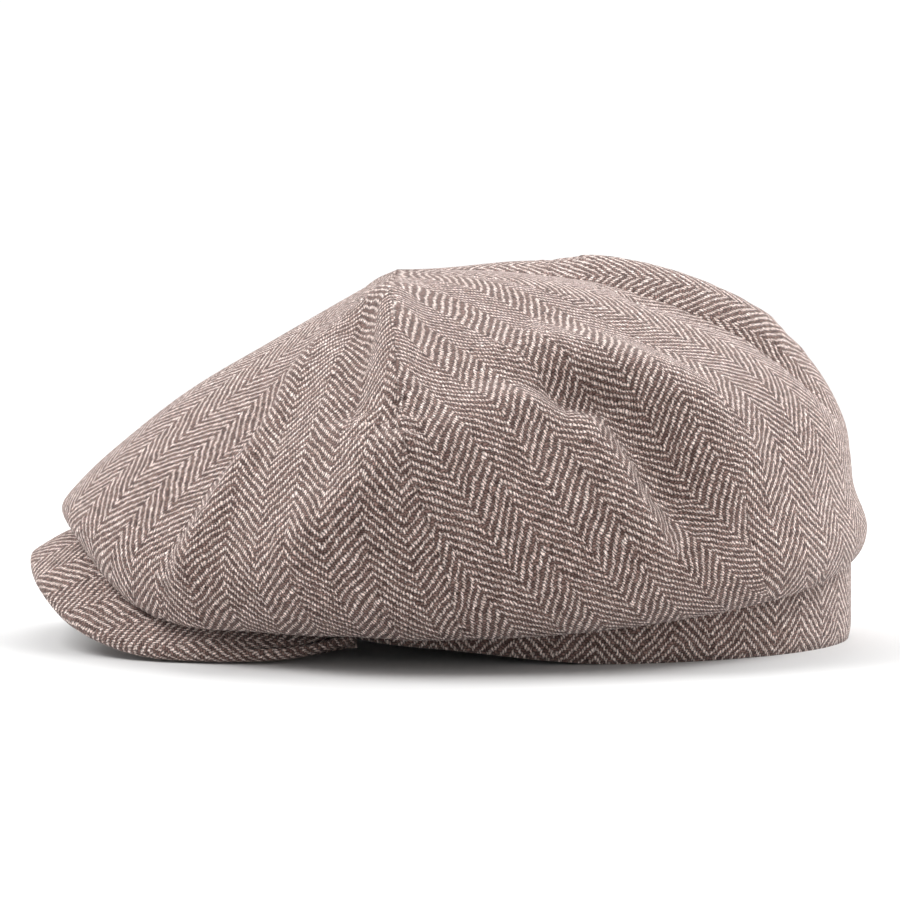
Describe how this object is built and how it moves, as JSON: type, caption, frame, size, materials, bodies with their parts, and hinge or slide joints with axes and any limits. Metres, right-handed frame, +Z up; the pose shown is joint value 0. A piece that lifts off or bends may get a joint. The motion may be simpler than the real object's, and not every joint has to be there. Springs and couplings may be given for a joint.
{
  "type": "newsboy cap",
  "caption": "Soft newsboy cap in herringbone wool: full panelled crown drooping over a narrow side band and a short stiffened visor, lined inside.",
  "frame": {"origin": "on the table, under the middle of the cap's bounding box", "axes": "+Z up, +Y towards the back of the cap with the visor pointing to -Y, +X towards the wearer's left"},
  "size_m": [0.2424, 0.2728, 0.1245],
  "materials": {
    "wool": "brown and off-white herringbone wool",
    "canvas": "plain cotton canvas",
    "twill": "dark brown cotton twill",
    "satin": "dark brown satin lining",
    "board": "stiff moulded visor insert",
    "thread": "sewing thread"
  },
  "bodies": {
    "root": {"crown_panel_front_left": "wool", "crown_panel_side_left": "wool", "crown_panel_rear_side_left": "wool", "crown_panel_rear_left": "wool", "crown_panel_rear_right": "wool", "crown_panel_rear_side_right": "wool", "crown_panel_side_right": "wool", "crown_panel_front_right": "wool", "side_band": "wool", "band_interlining": "canvas", "sweatband": "twill", "size_tab": "canvas", "visor_top_cover": "wool", "visor_under_cover": "wool", "visor_board": "board", "lining_panel_front_left": "satin", "lining_panel_side_left": "satin", "lining_panel_rear_side_left": "satin", "lining_panel_rear_left": "satin", "lining_panel_rear_right": "satin", "lining_panel_rear_side_right": "satin", "lining_panel_side_right": "satin", "lining_panel_front_right": "satin", "front_tack": "thread"}
  },
  "joints": []
}
